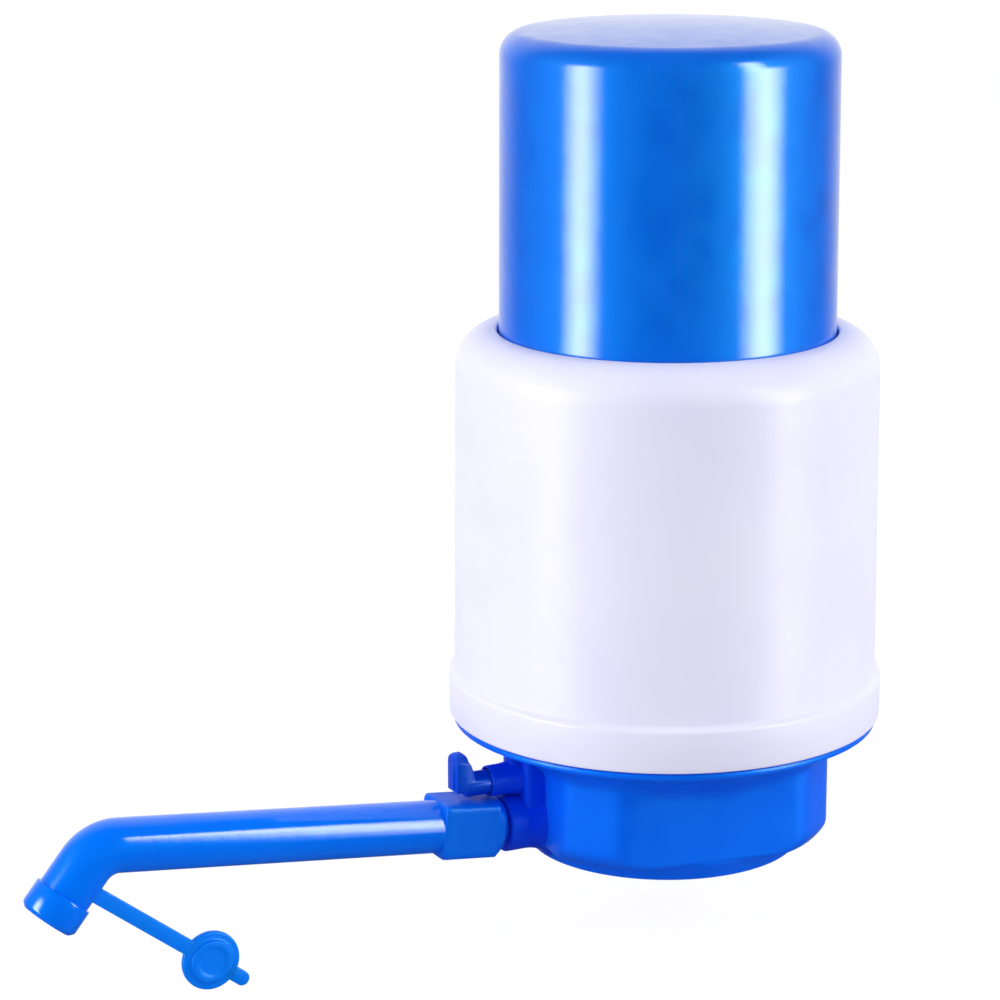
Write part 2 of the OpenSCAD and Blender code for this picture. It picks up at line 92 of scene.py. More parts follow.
def gloss_card(name, turn, reach, low, high, width, strength, soft):
    """An upright lit card with faded sides that shows in gloss only."""
    bm = bmesh.new()
    bm.loops.layers.uv.verify()
    bmesh.ops.create_grid(bm, x_segments=1, y_segments=1, size=0.5, calc_uvs=True)
    bmesh.ops.scale(bm, vec=(width, high - low, 1), verts=bm.verts)
    mesh = bpy.data.meshes.new(name)
    bm.to_mesh(mesh)
    bm.free()
    card = bpy.data.objects.new(name, mesh)
    bpy.context.scene.collection.objects.link(card)
    card.location = beside_camera(turn, 0, reach)
    card.location.z = (low + high) / 2
    card.rotation_euler = (radians(90), 0, radians(turn - CAMERA_TURN))
    card.visible_camera = card.visible_diffuse = card.visible_shadow = False
    card.visible_transmission = False
    material = bpy.data.materials.new(name)
    material.use_nodes = True
    tree = material.node_tree
    tree.nodes.clear()
    place = tree.nodes.new("ShaderNodeTexCoord")
    split = tree.nodes.new("ShaderNodeSeparateXYZ")
    tree.links.new(place.outputs["UV"], split.inputs[0])
    level = None
    for axis, fade in (("X", soft), ("Y", CARD_FADE / (high - low))):
        middle = tree.nodes.new("ShaderNodeMath")
        middle.operation = "SUBTRACT"
        middle.inputs[1].default_value = 0.5
        tree.links.new(split.outputs[axis], middle.inputs[0])
        away = tree.nodes.new("ShaderNodeMath")
        away.operation = "ABSOLUTE"
        tree.links.new(middle.outputs[0], away.inputs[0])
        edge = tree.nodes.new("ShaderNodeMapRange")
        edge.interpolation_type = "SMOOTHSTEP"
        edge.inputs["From Min"].default_value = 0.5
        edge.inputs["From Max"].default_value = 0.5 - fade
        tree.links.new(away.outputs[0], edge.inputs["Value"])
        if level is None:
            level = edge.outputs[0]
        else:
            both = tree.nodes.new("ShaderNodeMath")
            both.operation = "MULTIPLY"
            tree.links.new(level, both.inputs[0])
            tree.links.new(edge.outputs[0], both.inputs[1])
            level = both.outputs[0]
    glow = tree.nodes.new("ShaderNodeEmission")
    glow.inputs["Strength"].default_value = strength
    clear = tree.nodes.new("ShaderNodeBsdfTransparent")
    faded = tree.nodes.new("ShaderNodeMixShader")
    tree.links.new(level, faded.inputs["Fac"])
    tree.links.new(clear.outputs[0], faded.inputs[1])
    tree.links.new(glow.outputs[0], faded.inputs[2])
    out = tree.nodes.new("ShaderNodeOutputMaterial")
    tree.links.new(faded.outputs[0], out.inputs["Surface"])
    mesh.materials.append(material)


soft_box("left_box", turn=-72, rise=18, reach=1.1, width=0.6, height=1.0, power=7.2)
soft_box("right_box", turn=82, rise=22, reach=1.1, width=0.6, height=1.0, power=6.0)
for name, turn, reach, low, high, width, strength, soft in (
        ("left_card", -62, 0.75, -0.2, 0.5, 0.5, 17.0, 0.5),
        ("right_card", 63, 0.75, -0.2, 0.36, 0.54, 18.0, 0.5),
        ("high_card", 56, 0.75, 0.02, 0.8, 0.34, 16.0, 0.5),
        ("back_card", 180, 0.9, 0.02, 0.8, 0.84, 1.05, 0.2)):
    gloss_card(name, turn, reach, low, high, width, strength, soft)

# the camera sees plain white, the room lights all sides evenly, and gloss sees a sweep
# that is bright only behind the pump
world = bpy.data.worlds.new("studio")
bpy.context.scene.world = world
world.use_nodes = True
tree = world.node_tree
tree.nodes.clear()
path = tree.nodes.new("ShaderNodeLightPath")
place = tree.nodes.new("ShaderNodeTexCoord")
behind = tree.nodes.new("ShaderNodeVectorMath")
behind.operation = "DOT_PRODUCT"
behind.inputs[1].default_value = (sin(radians(CAMERA_TURN)), cos(radians(CAMERA_TURN)),
                                  SWEEP_LEAN)
tree.links.new(place.outputs["Generated"], behind.inputs[0])
sweep = tree.nodes.new("ShaderNodeMapRange")
sweep.interpolation_type = "SMOOTHSTEP"
for key, value in (("From Min", 0.42), ("From Max", 0.97), ("To Min", 0.015), ("To Max", 1.0)):
    sweep.inputs[key].default_value = value
tree.links.new(behind.outputs["Value"], sweep.inputs["Value"])
room = tree.nodes.new("ShaderNodeBackground")
room.inputs["Strength"].default_value = 0.7
white = tree.nodes.new("ShaderNodeBackground")
shown = tree.nodes.new("ShaderNodeBackground")
tree.links.new(sweep.outputs[0], shown.inputs["Strength"])
for shade in (room, white, shown):
    shade.inputs["Color"].default_value = (1, 1, 1, 1)
in_gloss = tree.nodes.new("ShaderNodeMixShader")
tree.links.new(path.outputs["Is Glossy Ray"], in_gloss.inputs["Fac"])
tree.links.new(room.outputs[0], in_gloss.inputs[1])
tree.links.new(shown.outputs[0], in_gloss.inputs[2])
seen = tree.nodes.new("ShaderNodeMath")
seen.operation = "MAXIMUM"
tree.links.new(path.outputs["Is Camera Ray"], seen.inputs[0])
tree.links.new(path.outputs["Is Transmission Ray"], seen.inputs[1])
in_view = tree.nodes.new("ShaderNodeMixShader")
tree.links.new(seen.outputs[0], in_view.inputs["Fac"])
tree.links.new(in_gloss.outputs[0], in_view.inputs[1])
tree.links.new(white.outputs[0], in_view.inputs[2])
out = tree.nodes.new("ShaderNodeOutputWorld")
tree.links.new(in_view.outputs[0], out.inputs["Surface"])

# the floor stays white and only takes a part of the shadow
bm = bmesh.new()
bmesh.ops.create_circle(bm, cap_ends=True, radius=4, segments=64)
bmesh.ops.translate(bm, vec=(0, 0, FLOOR_Z), verts=bm.verts)
floor_mesh = bpy.data.meshes.new("floor")
bm.to_mesh(floor_mesh)
bm.free()
floor = bpy.data.objects.new("floor", floor_mesh)
bpy.context.scene.collection.objects.link(floor)
floor.visible_glossy = False
material = bpy.data.materials.new("floor")
material.use_nodes = True
tree = material.node_tree
tree.nodes.clear()
path = tree.nodes.new("ShaderNodeLightPath")
paint = tree.nodes.new("ShaderNodeBsdfDiffuse")
paint.inputs["Color"].default_value = (0.66, 0.66, 0.68, 1)
glow = tree.nodes.new("ShaderNodeEmission")
glow.inputs["Strength"].default_value = 1.1
share = tree.nodes.new("ShaderNodeMath")
share.operation = "MAXIMUM"
tree.links.new(path.outputs["Is Camera Ray"], share.inputs[0])
tree.links.new(path.outputs["Is Transmission Ray"], share.inputs[1])
part = tree.nodes.new("ShaderNodeMath")
part.operation = "MULTIPLY"
part.inputs[1].default_value = FLOOR_WHITE
tree.links.new(share.outputs[0], part.inputs[0])
mix = tree.nodes.new("ShaderNodeMixShader")
tree.links.new(part.outputs[0], mix.inputs["Fac"])
tree.links.new(paint.outputs[0], mix.inputs[1])
tree.links.new(glow.outputs[0], mix.inputs[2])
out = tree.nodes.new("ShaderNodeOutputMaterial")
tree.links.new(mix.outputs[0], out.inputs["Surface"])
floor_mesh.materials.append(material)

# ---------------------------------------------------------------- press cap
# The palm presses on this thick blue cup of polypropylene, moulded in one shot.
# Its skirt slides in the housing's opening, and a flange below keeps it from coming out.
CAP_R, CAP_TOP_R, CAP_TOP, CAP_LOW = 34.5, 34.25, 171.0, 100.0
CAP_EDGE, CAP_DOME, CAP_WALL, CAP_STEP = 4.4, 1.6, 2.0, 163.0
CAP_FLANGE_R, CAP_FLANGE_TOP, CAP_FLANGE_T = 37.2, 106.7, 1.5


def turned(outline, steps=128):
    """Spins a closed outline of (radius, height, rounding) corners in mm about the pump's axis."""
    bm = bmesh.new()
    corners = [bm.verts.new((r / 1000, 0, z / 1000)) for r, z, _ in outline]
    for a, b in zip(corners, corners[1:] + corners[:1]):
        bm.edges.new((a, b))
    for corner, (r, z, rounding) in zip(corners, outline):
        if rounding:
            bmesh.ops.bevel(bm, geom=[corner], offset=rounding / 1000, offset_type="OFFSET",
                            segments=max(3, int(rounding * 3)), profile=0.5,
                            affect="VERTICES", material=-1)
    for corner in list(bm.verts):
        if corner.co.x < 1e-6:
            corner.co.x = 0
    for side in [e for e in bm.edges if all(v.co.x == 0 for v in e.verts)]:
        bm.edges.remove(side)
    bmesh.ops.spin(bm, geom=bm.verts[:] + bm.edges[:], cent=(0, 0, 0), axis=(0, 0, 1),
                   angle=radians(360), steps=steps, use_merge=True)
    bmesh.ops.remove_doubles(bm, verts=bm.verts, dist=1e-6)
    bmesh.ops.recalc_face_normals(bm, faces=bm.faces)
    return bm


def finished(bm, name, body, slot, material, *replaced, crease=32):
    """Makes the piece, smooth but for its sharp edges, and fixes it to its body."""
    for face in bm.faces:
        face.smooth = True
    for side in bm.edges:
        side.smooth = not side.is_manifold or side.calc_face_angle(0) < radians(crease)
    mesh = bpy.data.meshes.new(name)
    bm.to_mesh(mesh)
    bm.free()
    mesh.materials.append(material)
    piece = bpy.data.objects.new(name, mesh)
    bpy.context.scene.collection.objects.link(piece)
    if body:
        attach(piece, body)
    if replaced:
        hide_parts(*replaced)
    return piece


def plastic(name, colour, pale, roughness, grain=1.0, scuffs=0.0, milk=0.0, depth=0.002,
            shine=0.45, tint=(1, 1, 1), polish=0.0, polish_roughness=0.1):
    """Moulded plastic: slow drift of the pigment, fine uneven gloss under the sharper
    shine of a polished mould, the mould's skin, and fine upright scuffs where it slides."""
    material = bpy.data.materials.new(name)
    material.use_nodes = True
    tree = material.node_tree
    shader = tree.nodes["Principled BSDF"]
    shader.inputs["Specular IOR Level"].default_value = shine
    shader.inputs["Specular Tint"].default_value = (*tint, 1)
    shader.inputs["Coat Weight"].default_value = polish
    shader.inputs["Coat Roughness"].default_value = polish_roughness
    where = tree.nodes.new("ShaderNodeTexCoord")

    def noise(scale, detail, stretch=(1, 1, 1)):
        put = tree.nodes.new("ShaderNodeMapping")
        put.inputs["Scale"].default_value = stretch
        tree.links.new(where.outputs["Object"], put.inputs["Vector"])
        field = tree.nodes.new("ShaderNodeTexNoise")
        field.inputs["Scale"].default_value = scale
        field.inputs["Detail"].default_value = detail
        tree.links.new(put.outputs[0], field.inputs["Vector"])
        return field.outputs["Fac"]

    def ranged(field, low, high, to_low, to_high):
        span = tree.nodes.new("ShaderNodeMapRange")
        for key, value in (("From Min", low), ("From Max", high),
                           ("To Min", to_low), ("To Max", to_high)):
            span.inputs[key].default_value = value
        tree.links.new(field, span.inputs["Value"])
        return span.outputs[0]

    def blended(factor, first, second):
        mix = tree.nodes.new("ShaderNodeMix")
        mix.data_type = "RGBA"
        tree.links.new(factor, mix.inputs["Factor"])
        # the node's sockets share names: 6 and 7 are its two colours, 2 the mixed one
        for key, value in ((6, first), (7, second)):
            if isinstance(value, tuple):
                mix.inputs[key].default_value = (*value, 1)
            else:
                tree.links.new(value, mix.inputs[key])
        return mix.outputs[2]

    def summed(first, second):
        add = tree.nodes.new("ShaderNodeMath")
        tree.links.new(first, add.inputs[0])
        tree.links.new(second, add.inputs[1])
        return add.outputs[0]

    drift = ranged(noise(28, 3), 0.3, 0.7, 0, 1)
    pigment = blended(drift, colour, pale)
    gloss = ranged(noise(160, 4), 0.3, 0.7, roughness * 0.8, roughness * 1.25)
    if scuffs:
        worn = ranged(noise(1, 3, (900, 900, 14)), 0.62, 0.78, 0, scuffs)
        pigment = blended(worn, pigment, tuple(min(1, 0.35 + 0.65 * c) for c in pale))
        gloss = summed(gloss, ranged(worn, 0, 1, 0, 0.45))
    tree.links.new(pigment, shader.inputs["Base Color"])
    tree.links.new(gloss, shader.inputs["Roughness"])
    skin = summed(ranged(noise(1500, 2), 0, 1, 0, 0.35), ranged(noise(240, 3), 0, 1, 0, 1))
    bump = tree.nodes.new("ShaderNodeBump")
    bump.inputs["Strength"].default_value = 0.35 * grain
    bump.inputs["Distance"].default_value = 0.00006
    tree.links.new(skin, bump.inputs["Height"])
    tree.links.new(bump.outputs[0], shader.inputs["Normal"])
    tree.links.new(bump.outputs[0], shader.inputs["Coat Normal"])
    if milk:
        shader.inputs["Subsurface Weight"].default_value = milk
        shader.inputs["Subsurface Radius"].default_value = (1.0, 1.0, 1.2)
        shader.inputs["Subsurface Scale"].default_value = depth
    return material


cap_blue = plastic("cap_blue", (0.0, 0.102, 0.71), (0.0, 0.114, 0.76), 0.5, scuffs=0.02,
                   shine=1.0, tint=(0.0, 0.6, 1), polish=0.9)
bm = turned([
    (0, CAP_TOP, 0), (8, CAP_TOP - 0.09, 0), (16, CAP_TOP - 0.36, 0), (24, CAP_TOP - 0.79, 0),
    (30, CAP_TOP - 1.24, 0), (CAP_TOP_R, CAP_TOP - CAP_DOME, CAP_EDGE),
    (CAP_R, CAP_FLANGE_TOP + 0.6, 0.8), (CAP_R + 0.5, CAP_FLANGE_TOP, 0),
    (CAP_FLANGE_R, CAP_FLANGE_TOP, 0.35), (CAP_FLANGE_R, CAP_FLANGE_TOP - CAP_FLANGE_T, 0.35),
    (CAP_R, CAP_FLANGE_TOP - CAP_FLANGE_T, 0), (CAP_R, CAP_LOW, 0.5),
    (CAP_R - CAP_WALL, CAP_LOW, 0.5), (CAP_R - CAP_WALL, CAP_STEP, 0),
    (CAP_R - CAP_WALL - 2, CAP_STEP, 0), (CAP_R - CAP_WALL - 2, CAP_TOP - CAP_DOME - 2.2, 0.8),
    (0, CAP_TOP - CAP_DOME - 2.2, 0)])
finished(bm, "press_cap_shell", "press_head", "blue_gloss", cap_blue, "press_cap")

# ---------------------------------------------------------------- housing
# A milky polypropylene sleeve, a little wider at the bottom, with a rolled shoulder.
# Its thick bottom band snaps over the ridge on the base's upstanding ring.
OPEN_R, LIP_TOP, SHOULDER_R, HOUSE_WALL = 34.85, 109.2, 7.7, 2.0
HOUSE_TOP_R, HOUSE_LOW_R, BAND_R, BAND_TOP, HOUSE_LOW = 43.4, 43.85, 45.0, 36.8, 28.3
HOUSE_IN_R = HOUSE_LOW_R - HOUSE_WALL
housing_milk = plastic("housing_milk", (0.775, 0.775, 1.0), (0.825, 0.82, 1.0), 0.55, 0.6,
                       milk=0.2, shine=0.2, polish=0.14, polish_roughness=0.24)
bm = turned([
    (OPEN_R, LIP_TOP, 0.45), (HOUSE_TOP_R, LIP_TOP, SHOULDER_R),
    (HOUSE_LOW_R, BAND_TOP + 1.0, 0.3), (BAND_R, BAND_TOP + 0.2, 0.5), (BAND_R, HOUSE_LOW, 0.6),
    (HOUSE_IN_R - 0.2, HOUSE_LOW, 0.2), (HOUSE_IN_R - 0.2, HOUSE_LOW + 2.8, 0),
    (HOUSE_IN_R + 0.15, HOUSE_LOW + 3.2, 0), (HOUSE_IN_R + 0.15, HOUSE_LOW + 4.4, 0),
    (HOUSE_IN_R - 0.2, HOUSE_LOW + 4.8, 0), (HOUSE_IN_R - 0.2, HOUSE_LOW + 7.7, 0),
    (HOUSE_IN_R, HOUSE_LOW + 9.7, 0), (HOUSE_TOP_R - HOUSE_WALL, LIP_TOP - HOUSE_WALL,
                                       SHOULDER_R - HOUSE_WALL),
    (OPEN_R, LIP_TOP - HOUSE_WALL, 0.3)])
finished(bm, "housing_shell", "pump_body", "white_housing", housing_milk, "housing")

# ---------------------------------------------------------------- base
# One blue moulding pushed and turned on the jug's neck by hand: a lip, a collar with four
# long and four short faces, a flare up to the flange that carries the housing, and the
# outlet and the air release's boss standing out on the left.
NECK_R, NECK_LAND, NECK_RELIEF, ROOF = 27.8, 9.2, 28.3, 19.6
FACE_D, CORNER_D, COLLAR_TURN, COLLAR_ROUND, COLLAR_LOW = 29.5, 34.9, -8.7, 6.5, 3.5
COLLAR_STEP, CUT_ROUND, CUT_SLOPE = 2.5, 1.2, 0.925
FLARE_ROUND, FLARE_SLOPE, FLARE_LOW_R = 4.0, 1.855, 28.5
FLANGE_R, FLANGE_TOP, UPSTAND_R, UPSTAND_IN, RECESS_R = 44.2, 28.0, 41.5, 39.95, 38.4
OUT_Z, OUT_R, OUT_X, SPIGOT_R, SPIGOT_END = 8.6, 6.0, 38.6, 3.9, 48.6
AIR_Z, AIR_R, AIR_X, AIR_END, PLUG_R, PLUG_HEAD_R = 18.15, 3.25, 39.9, 41.7, 1.85, 2.8


def collar_edge():
    """The collar's outline in plan: long faces, short faces and rounded uprights between."""
    near = FACE_D - COLLAR_ROUND
    far = 2 ** 0.5 * (CORNER_D - COLLAR_ROUND) - near
    corners = []
    for quarter in range(4):
        for side, first in ((-1, -45), (1, 0)):
            for step in range(7):
                a = radians(first + 7.5 * step)
                corners.append(Matrix.Rotation(radians(90 * quarter + COLLAR_TURN), 2) @ Vector(
                    (near + COLLAR_ROUND * cos(a), side * far + COLLAR_ROUND * sin(a))))
    edge = []
    for here, after in zip(corners, corners[1:] + corners[:1]):
        steps = max(1, round((after - here).length / COLLAR_STEP))
        edge += [here.lerp(after, step / steps) for step in range(steps)]
    return edge


def drawn(outlines):
    """Draws one closed skin through a row of outlines with the same number of points."""
    bm = bmesh.new()
    place = bm.verts.layers.int.new("place")
    ring = [bm.verts.new(point) for point in outlines[0]]
    for number, corner in enumerate(ring):
        corner[place] = number
    sides = [bm.edges.new((a, b)) for a, b in zip(ring, ring[1:] + ring[:1])]
    bmesh.ops.contextual_create(bm, geom=sides)
    for outline in outlines[1:]:
        made = bmesh.ops.extrude_edge_only(bm, edges=sides)["geom"]
        ring = {v for v in made if isinstance(v, bmesh.types.BMVert)}
        sides = [e for e in made if isinstance(e, bmesh.types.BMEdge) and ring.issuperset(e.verts)]
        for corner in ring:
            corner.co = outline[corner[place]]
    bmesh.ops.contextual_create(bm, geom=sides)
    bmesh.ops.recalc_face_normals(bm, faces=bm.faces)
    bm.verts.layers.int.remove(place)
    return bm


def joined(bm, extra, place=Matrix()):
    """Adds another closed shell, moved to its place, to the same moulding."""
    extra.transform(place)
    shell = bpy.data.meshes.new("shell")
    extra.to_mesh(shell)
    extra.free()
    bm.from_mesh(shell)
    bpy.data.meshes.remove(shell)


def upright_bar(low, high, rounding):
    """A bar between two corners in mm with rounded uprights."""
    bm = bmesh.new()
    bmesh.ops.create_cube(bm, size=1)
    size = Vector(high) - Vector(low)
    bmesh.ops.scale(bm, vec=size / 1000, verts=bm.verts)
    bmesh.ops.translate(bm, vec=(Vector(low) + Vector(high)) / 2000, verts=bm.verts)
    uprights = [e for e in bm.edges if abs(e.verts[0].co.z - e.verts[1].co.z) > size.z / 2000]
    bmesh.ops.bevel(bm, geom=uprights, offset=rounding / 1000, offset_type="OFFSET",
                    segments=4, profile=0.5, affect="EDGES", material=-1)
    return bm


edge = collar_edge()
spokes = [(point.normalized(), point.length) for point in edge]


def round_outline(r, z):
    return [(way.x * r / 1000, way.y * r / 1000, z / 1000) for way, _ in spokes]


def collar_outline(z, inset=0.0):
    """The collar at one height, cut back below and flared into the flange above."""
    points = []
    for way, face in spokes:
        below = CORNER_D - 1.6 + (z - COLLAR_LOW) * CUT_SLOPE
        r = min(face, below) - max(0, CUT_ROUND - abs(face - below)) ** 2 / (4 * CUT_ROUND)
        above = min(FLANGE_R - 1.6, FLARE_LOW_R + (z - ROOF + 0.6) * FLARE_SLOPE)
        r = max(r, above) + max(0, FLARE_ROUND - abs(r - above)) ** 2 / (4 * FLARE_ROUND)
        r = max(min(r, FLANGE_R - 1.3) - inset, FACE_D + 0.03)
        points.append((way.x * r / 1000, way.y * r / 1000, z / 1000))
    return points


base_blue = plastic("base_blue", (0.0, 0.104, 0.88), (0.0, 0.116, 0.93), 0.48,
                    shine=0.8, tint=(0.0, 0.6, 1), polish=0.2, polish_roughness=0.14)
bm = drawn(
    [round_outline(r, z) for r, z in (
        (4.6, ROOF), (NECK_RELIEF - 0.5, ROOF), (NECK_RELIEF - 0.1, ROOF - 0.1),
        (NECK_RELIEF, ROOF - 0.5), (NECK_RELIEF, NECK_LAND + 0.5), (NECK_R, NECK_LAND),
        (NECK_R, 0.35), (NECK_R + 0.1, 0.1), (NECK_R + 0.3, 0), (FACE_D - 1.25, 0),
        (FACE_D - 1.05, 0.1), (FACE_D - 0.95, 0.35), (FACE_D - 0.25, 2.7),
        (FACE_D - 0.05, 3.0), (FACE_D, 3.3), (FACE_D + 0.02, COLLAR_LOW))]
    + [collar_outline(COLLAR_LOW, 0.5), collar_outline(COLLAR_LOW + 0.12, 0.2),
       collar_outline(COLLAR_LOW + 0.4)]
    + [collar_outline(z) for z in (4.4, 5, 5.7, 6.5, 7.5, 9, 11, 13, 15, 16)]
    + [collar_outline(16.5 + 0.5 * step) for step in range(21)]
    + [round_outline(r, z) for r, z in (
        (FLANGE_R - 0.6, FLANGE_TOP - 1.4), (FLANGE_R - 0.15, FLANGE_TOP - 1.25),
        (FLANGE_R, FLANGE_TOP - 0.9), (FLANGE_R, FLANGE_TOP - 0.5),
        (FLANGE_R - 0.15, FLANGE_TOP - 0.15), (FLANGE_R - 0.5, FLANGE_TOP),
        (UPSTAND_R, FLANGE_TOP), (UPSTAND_R, FLANGE_TOP + 3.6),
        (UPSTAND_R + 0.35, FLANGE_TOP + 4.1), (UPSTAND_R, FLANGE_TOP + 4.6),
        (UPSTAND_R, FLANGE_TOP + 6.7), (UPSTAND_R - 0.3, FLANGE_TOP + 7),
        (UPSTAND_IN + 0.3, FLANGE_TOP + 7), (UPSTAND_IN, FLANGE_TOP + 6.7), (UPSTAND_IN, 27.0),
        (RECESS_R, 27.0), (RECESS_R, 25.2), (8, 25.2))])
# the nipple that holds the suction tube
joined(bm, turned([(2.8, 9.6, 0.3), (3.6, 9.6, 0.2), (4.1, 10.3, 0.2), (4.1, ROOF + 0.3, 0),
                   (2.8, ROOF + 0.3, 0)], 48))
finished(bm, "base_moulding", "pump_body", "blue_base", base_blue, "base", crease=38)

# the outlet's boss and spigot, the air release's boss, and the webs that carry their ducts;
# they share the base's plastic, but their blue is painted darker as painted shade, where the stubs
# shadow each other and the collar
stub_painted_shade_blue = plastic("stub_painted_shade_blue", (0.0, 0.040, 0.74), (0.0, 0.050, 0.80), 0.45,
                    shine=0.5, tint=(0.0, 0.4, 1), polish=0.2, polish_roughness=0.2)
bm = bmesh.new()
leftward = Matrix.Rotation(radians(-90), 4, "Y")
joined(bm, turned([
    (0, 24, 0), (8.3, 24, 0), (8.3, 28.6, 0), (7.3, 29.6, 0), (6.7, 30.5, 0), (6.3, 31.6, 0),
    (6.05, 33, 0), (OUT_R, 34.2, 0), (OUT_R, OUT_X, 0.5), (SPIGOT_R, OUT_X, 0),
    (SPIGOT_R, 45.2, 0), (SPIGOT_R - 0.75, 45.2, 0), (SPIGOT_R - 0.75, 46.9, 0),
    (SPIGOT_R, 46.9, 0), (SPIGOT_R, SPIGOT_END, 0.4), (2.7, SPIGOT_END, 0.2), (2.7, 30, 0),
    (0, 30, 0)], 72), Matrix.Translation((0, 0, OUT_Z / 1000)) @ leftward)
joined(bm, turned([
    (0, 24, 0), (5.6, 24, 0), (5.6, 29, 0), (5.0, 30.6, 0), (4.5, 32, 0), (4.05, 33.6, 0),
    (3.7, 35.2, 0), (3.45, 36.8, 0), (AIR_R, 38.8, 0), (AIR_R, AIR_END, 0.3),
    (PLUG_HEAD_R, AIR_END, 0.1), (PLUG_HEAD_R, AIR_X, 0), (PLUG_R, AIR_X, 0.15), (PLUG_R, 30, 0),
    (0, 30, 0)], 60), Matrix.Translation((0, 0, AIR_Z / 1000)) @ leftward)
joined(bm, upright_bar((-34.8, -4.8, OUT_Z), (-26.8, 4.8, 22.6), 1.2))
joined(bm, upright_bar((-37, -1.9, AIR_Z), (-29, 1.9, 24.6), 0.8))
finished(bm, "stubs_moulding", "pump_body", "blue_base", stub_painted_shade_blue, "base", crease=38)

# ---------------------------------------------------------------- spout
# A tube of the same blue plastic, pushed over the outlet's spigot: a square grip block,
# a long straight run that climbs a little, a bend and a banded mouth.
TUBE_R, TUBE_BORE, BEND_R, TURN, REACH, LEG = 5.45, 4.45, 8.0, 57.0, 85.9, 17.3
MOUTH_R, MOUTH_L, BLOCK_X, BLOCK_Z, BLOCK_L, TILT = 6.05, 6.0, 41.1, 8.93, 12.9, 6.2
BEND_T, TUBE_START, BLOCK_H, SOCKET_R, SOCKET_END, DUCT_R = 4.3436, 12.3, 5.7, 4.0, 7.8, 3.75
along_spout = (Matrix.Translation((-BLOCK_X / 1000, 0, BLOCK_Z / 1000))
               @ Matrix.Rotation(radians(TILT - 90), 4, "Y"))
along_leg = (along_spout @ Matrix.Translation((0, 0, REACH / 1000))
             @ Matrix.Rotation(radians(-TURN), 4, "Y"))


def pulled(bm, ring, start, way, run):
    """Pulls a ring on along a straight line through (radius, distance) steps in mm."""
    centre = Vector(start)
    for r, distance in run:
        made = bmesh.ops.extrude_edge_only(bm, edges=ring)["geom"]
        corners = {v for v in made if isinstance(v, bmesh.types.BMVert)}
        ring = [e for e in made if isinstance(e, bmesh.types.BMEdge)
                and corners.issuperset(e.verts)]
        goal = Vector(start) + Vector(way) * distance / 1000
        for corner in corners:
            corner.co = goal + (corner.co - centre).normalized() * r / 1000
        centre = goal
    return ring


def bent(bm, ring, angle):
    """Spins a ring round the bend's centre."""
    corners = list({v for e in ring for v in e.verts})
    made = bmesh.ops.spin(bm, geom=corners + ring, axis=(0, 1, 0), angle=radians(angle),
                          cent=(-BEND_R / 1000, 0, (REACH - BEND_T) / 1000),
                          steps=20)["geom_last"]
    return [e for e in made if isinstance(e, bmesh.types.BMEdge)]


spout_blue = plastic("spout_blue", (0.0, 0.160, 0.94), (0.0, 0.176, 0.99), 0.42,
                     shine=0.2, tint=(0.0, 0.6, 1), polish=0.9, polish_roughness=0.03)
bm = bmesh.new()
bmesh.ops.create_circle(bm, radius=TUBE_R / 1000, segments=64)
bmesh.ops.translate(bm, vec=(0, 0, TUBE_START / 1000), verts=bm.verts)
ring = pulled(bm, bm.edges[:], (0, 0, TUBE_START / 1000), (0, 0, 1),
              [(TUBE_R, REACH - BEND_T - TUBE_START)])
ring = bent(bm, ring, -TURN)
way = Vector((-sin(radians(TURN)), 0, cos(radians(TURN))))
corner_point = Vector((0, 0, REACH / 1000))
first = corner_point + way * BEND_T / 1000
ring = pulled(bm, ring, first, way, [
    (r, z - BEND_T) for r, z in (
        (TUBE_R, LEG - MOUTH_L), (MOUTH_R - 0.25, LEG - MOUTH_L + 0.03),
        (MOUTH_R - 0.07, LEG - MOUTH_L + 0.1), (MOUTH_R, LEG - MOUTH_L + 0.3),
        (MOUTH_R, LEG - 1.1), (MOUTH_R - 0.12, LEG - 0.75), (MOUTH_R - 0.42, LEG - 0.4),
        (MOUTH_R - 0.85, LEG), (TUBE_BORE + 0.3, LEG), (TUBE_BORE + 0.08, LEG - 0.08),
        (TUBE_BORE, LEG - 0.35), (TUBE_BORE, BEND_T))])
ring = bent(bm, ring, TURN)
pulled(bm, ring, (0, 0, (REACH - BEND_T) / 1000), (0, 0, -1),
       [(TUBE_BORE, REACH - BEND_T - TUBE_START)])
bmesh.ops.bridge_loops(bm, edges=[e for e in bm.edges if e.is_boundary])
bmesh.ops.recalc_face_normals(bm, faces=bm.faces)
bm.transform(along_spout)
finished(bm, "spout_moulding", "spout_tube", "blue_spout", spout_blue, "spout")


def squared(bm, ring, aside, steps):
    """Pulls a ring, aside mm off the line, on through (half width, clip radius, z, aside)
    steps in mm: a square with rounded corners, clipped to a circle."""
    for half, clip, z, next_aside in steps:
        made = bmesh.ops.extrude_edge_only(bm, edges=ring)["geom"]
        corners = {v for v in made if isinstance(v, bmesh.types.BMVert)}
        ring = [e for e in made if isinstance(e, bmesh.types.BMEdge)
                and corners.issuperset(e.verts)]
        for corner in corners:
            turn = atan2(corner.co.y, corner.co.x - aside / 1000)
            side = half * (abs(cos(turn)) ** CORNERED
                           + abs(sin(turn)) ** CORNERED) ** (-1 / CORNERED)
            away = (side ** -CLIPPED + clip ** -CLIPPED) ** (-1 / CLIPPED)
            corner.co = Vector((away * cos(turn) + next_aside, away * sin(turn), z)) / 1000
        aside = next_aside


